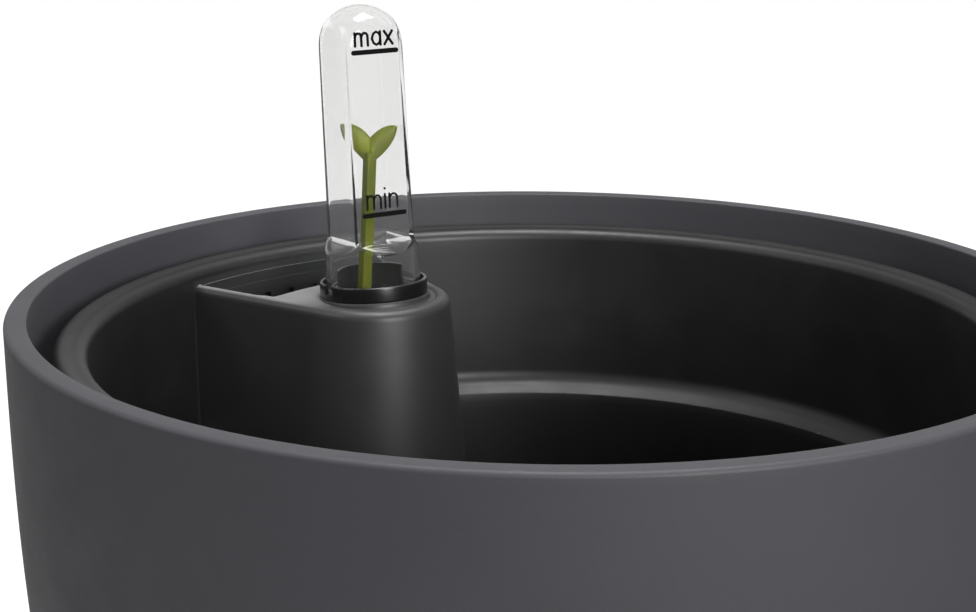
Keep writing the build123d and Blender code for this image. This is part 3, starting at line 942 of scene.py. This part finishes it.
# ---------- sprout, float and the small parts ----------
def build_sprout():
    """Square stem with a bend, and two leaves with rounded edges at its top."""
    float_top = float_low + float_height
    bend = Vector((-4.3, 0, -14.0))
    foot = Vector((0, 0, float_top - 11.8))
    crown = Vector((0.9, 0, 44.5))
    half = 1.6
    square = (gauge_frame @ Matrix.Rotation(math.radians(8), 4, "Z")).to_3x3()
    to_leaf = leaf_frame.to_3x3().inverted()
    side_x = to_leaf @ square.col[0]
    side_y = to_leaf @ square.col[1]
    plan = []
    corner = 0.3
    for turn, (cx, cy) in enumerate(((1, 1), (-1, 1), (-1, -1), (1, -1))):
        centre = (cx * (half - corner), cy * (half - corner))
        plan += arc(centre, corner, 90 * turn, 90 * turn + 90, 4)
    path = [foot + (bend - foot) * i / 12 for i in range(12)]
    path += [bend + (crown - bend) * i / 20 for i in range(21)]
    loops = [[centre + side_x * x + side_y * y for x, y in plan] for centre in path]
    sprout = loft("sprout_stem", loops, leaf_frame, 50.0)
    lean = math.atan2(crown[0] - bend[0], crown[2] - bend[2])
    tilt = leaf_frame @ Matrix.Translation((-2.95, 0, 2.3)) @ Matrix.Rotation(lean, 4, "Y")
    for side in (-1, 1):
        tip, low = (side * 8.3, 51.1), (side * 1.2, 39.6)
        inner = bezier((0.0, 47.2), (side * 2.4, 50.2), (side * 5.6, 51.9), tip, 16)
        outer = bezier(tip, (side * 8.2, 46.6), (side * 4.9, 42.6), low, 16)
        core = bezier(low, (-side * 0.5, 42.0), (-side * 0.5, 45.0), (0.0, 47.2), 6)
        outline = inner + outer[1:] + core[1:-1]
        middle = (side * 3.6, 46.6)
        loops = []
        # outline shrunk towards the leaf's middle, at its depth on either side of the leaf's plane
        for shrink, depth in ((0.86, -0.85), (0.96, -0.62), (1.0, 0.0), (0.96, 0.62), (0.86, 0.85)):
            spread = [((x - middle[0]) * shrink, (z - middle[1]) * shrink) for x, z in outline]
            loops.append([(middle[0] + x, depth, middle[1] + z) for x, z in spread])
        boolean(sprout, loft("leaf", loops, tilt, 60.0), "UNION", 50.0)
    sprout.name = "sprout_with_leaves"
    return dress(sprout, sprout_plastic, "sprout", "float", "sprout_pointer")


def build_wick(number, azimuth_offset):
    """Textile strip that hangs in its slot and folds over onto the liner's floor, clear of both."""
    azimuth = tower_azimuth + azimuth_offset
    placed = axes_frame(Vector((0, 0, 0)), outward(azimuth), up)
    low = pot_floor + 2.5
    tail_level = liner_floor + 1.0 + wick_thickness / 2
    bend = 3.5
    path = [(wick_circle, low + (tail_level - bend - low) * i / 70) for i in range(70)]
    path += arc((wick_circle + bend, tail_level - bend), bend, 180, 90, 12)
    tail_end = wick_circle + 26.0
    path += stretch((wick_circle + bend, tail_level), (tail_end, tail_level), 30)[1:]
    half_width, half_thick = wick_width / 2 - 0.4, wick_thickness / 2 - 0.25
    loops = []
    for k, (x, z) in enumerate(path):
        before, after = path[max(k - 1, 0)], path[min(k + 1, len(path) - 1)]
        along = math.atan2(after[1] - before[1], after[0] - before[0])
        normal = (-math.sin(along), math.cos(along))
        loop = []
        for i in range(56):
            turn = 2 * math.pi * i / 56
            across = math.copysign(abs(math.cos(turn)) ** 0.35, math.cos(turn)) * half_width
            thick = math.copysign(abs(math.sin(turn)) ** 0.7, math.sin(turn)) * half_thick
            thick += 0.12 * math.sin(1.7 * k + number) * math.cos(2.2 * across + 0.9 * k)
            across += 0.16 * math.sin(0.9 * k + 2 * number)
            loop.append((x + normal[0] * thick, across, z + normal[1] * thick))
        loops.append(loop)
    wick = loft(f"wick_strip_{number}", loops, placed, 70.0)
    return dress(wick, wick_felt, "wick", "liner", f"wick_{number}")


build_outer_pot()
build_liner()
build_sleeve()
build_tube()
for level_mark in level_marks:
    build_mark(*level_mark)
build_sprout()
for wick_number, wick_offset in enumerate(wick_offsets, 1):
    build_wick(wick_number, wick_offset)
for node, look, slot_name in (
    ("drain_plug", plug_plastic, "plug"),
    ("drain_plug_seal", seal_rubber, "seal"),
    ("float_body", float_plastic, "float"),
    ("float_cap", float_plastic, "float"),
    ("sleeve_cap", collar_plastic, "collar"),
):
    dress(frame["nodes"][node], look, slot_name)


# ---------- studio ----------
# camera: distance in front of the pot's axis, height over the rim, lens, and its turns in degrees
camera_distance = 552.8
camera_rise = 142.5
camera_lens = 73.77
camera_heading = 1.723
camera_dip = 14.763
camera_roll = 0.373
# rays through the clear tube see the bright studio while they keep near the camera's own direction:
# the part of a ray along it where the shade ends and begins, and the brightness left in the shade
view_axis = Vector((-0.029, 0.966, -0.255))
bend_dark = 0.45
bend_clear = 0.75
edge_shade = 0.6
# light from the room, and from a low bright band behind: its azimuth, and how high it reaches
room_light = 0.33
backdrop_light = 1.2
backdrop_azimuth = 103.0
backdrop_full = 0.20
backdrop_top = 0.30
# name, place in metres, width and height in metres, watts
softboxes = (
    ("top_softbox", (0.10, 0.15, 1.7), (0.75, 0.75), 27),
    ("right_softbox", (0.87, -1.36, 0.725), (0.5, 0.5), 30),
    ("left_softbox", (-1.1, -0.35, 1.15), (0.5, 0.5), 4),
)


def seen_directly(nodes, ray, sign):
    """1 for camera rays, and for rays through the clear tube that keep near the camera's direction."""
    path = nodes.add("ShaderNodeLightPath")
    near = nodes.window(ray, sign * view_axis, bend_dark, bend_clear)
    shaded = nodes.spread(near, edge_shade, 1.0)
    through = nodes.maths("MULTIPLY", path.outputs["Is Transmission Ray"], shaded)
    return nodes.maths("MAXIMUM", path.outputs["Is Camera Ray"], through)


def pale_floor():
    """Pale floor that looks white to the camera but throws back less light than it shows."""
    pale = Look("pale_floor")
    grain = pale.spread(pale.noise(3.0), -0.02, 0.02)
    right = pale.window(pale.place, outward(-45), -0.2, 0.5)
    pale.set("Base Color", pale.maths("ADD", pale.spread(right, 0.42, 0.14), grain))
    pale.set("Roughness", 0.9)
    shown = pale.add("ShaderNodeBsdfDiffuse")
    shown.inputs["Color"].default_value = (0.2, 0.2, 0.2, 1.0)
    glow = pale.add("ShaderNodeEmission")
    glow.inputs["Strength"].default_value = 0.92
    both = pale.add("ShaderNodeAddShader")
    pale.feed(both.inputs[0], shown.outputs[0])
    pale.feed(both.inputs[1], glow.outputs[0])
    incoming = pale.add("ShaderNodeNewGeometry").outputs["Incoming"]
    directly = seen_directly(pale, incoming, -1.0)
    pale.feed(pale.surface, pale.mix(directly, pale.shader.outputs[0], both.outputs[0]))
    return pale.material


def build_world():
    """White backdrop that lights the planter softly, with a bright low band behind and to the left."""
    world = bpy.data.worlds.new("studio")
    world.use_nodes = True
    nodes = Nodes(world.node_tree)
    direction = nodes.add("ShaderNodeTexCoord").outputs["Generated"]
    behind = nodes.window(direction, outward(backdrop_azimuth), 0.45, 0.85)
    low_band = nodes.window(direction, -up, -backdrop_top, -backdrop_full)
    band = nodes.maths("MULTIPLY", behind, low_band)
    strength = nodes.add("ShaderNodeMix")
    nodes.feed(strength.inputs["Factor"], seen_directly(nodes, direction, 1.0))
    nodes.feed(strength.inputs["A"], nodes.spread(band, room_light, backdrop_light))
    nodes.feed(strength.inputs["B"], 1.0)
    background = world.node_tree.nodes["Background"]
    background.inputs["Color"].default_value = (1.0, 1.0, 1.0, 1.0)
    nodes.feed(background.inputs["Strength"], strength.outputs["Result"])
    bpy.context.scene.world = world


def build_studio():
    """Floor, backdrop light and softboxes."""
    corners = [(-9e3, -9e3, 0), (9e3, -9e3, 0), (9e3, 9e3, 0), (-9e3, 9e3, 0)]
    floor = add_mesh("floor", corners, [[0, 1, 2, 3]])
    floor.data.materials.append(pale_floor())
    build_world()
    for name, place, size, power in softboxes:
        light = bpy.data.lights.new(name, "AREA")
        light.shape = "RECTANGLE"
        light.size, light.size_y = size
        light.energy = power
        lamp = bpy.data.objects.new(name, light)
        lamp.location = place
        aim = Vector((0, 0, 0.2)) - Vector(place)
        lamp.rotation_euler = aim.to_track_quat("-Z", "Y").to_euler()
        bpy.context.scene.collection.objects.link(lamp)


def build_camera():
    """Camera in front of the pot, a little over its rim."""
    camera = bpy.data.cameras.new("camera")
    camera.sensor_width = 36.0
    camera.lens = camera_lens
    obj = bpy.data.objects.new("camera", camera)
    obj.matrix_world = (
        Matrix.Translation(Vector((0, -camera_distance, pot_height + camera_rise)) * MM)
        @ Matrix.Rotation(math.radians(camera_heading), 4, "Z")
        @ Matrix.Rotation(math.radians(90 - camera_dip), 4, "X")
        @ Matrix.Rotation(math.radians(camera_roll), 4, "Z")
    )
    bpy.context.scene.collection.objects.link(obj)
    bpy.context.scene.camera = obj


build_studio()
build_camera()
bpy.context.scene.view_settings.view_transform = "Standard"
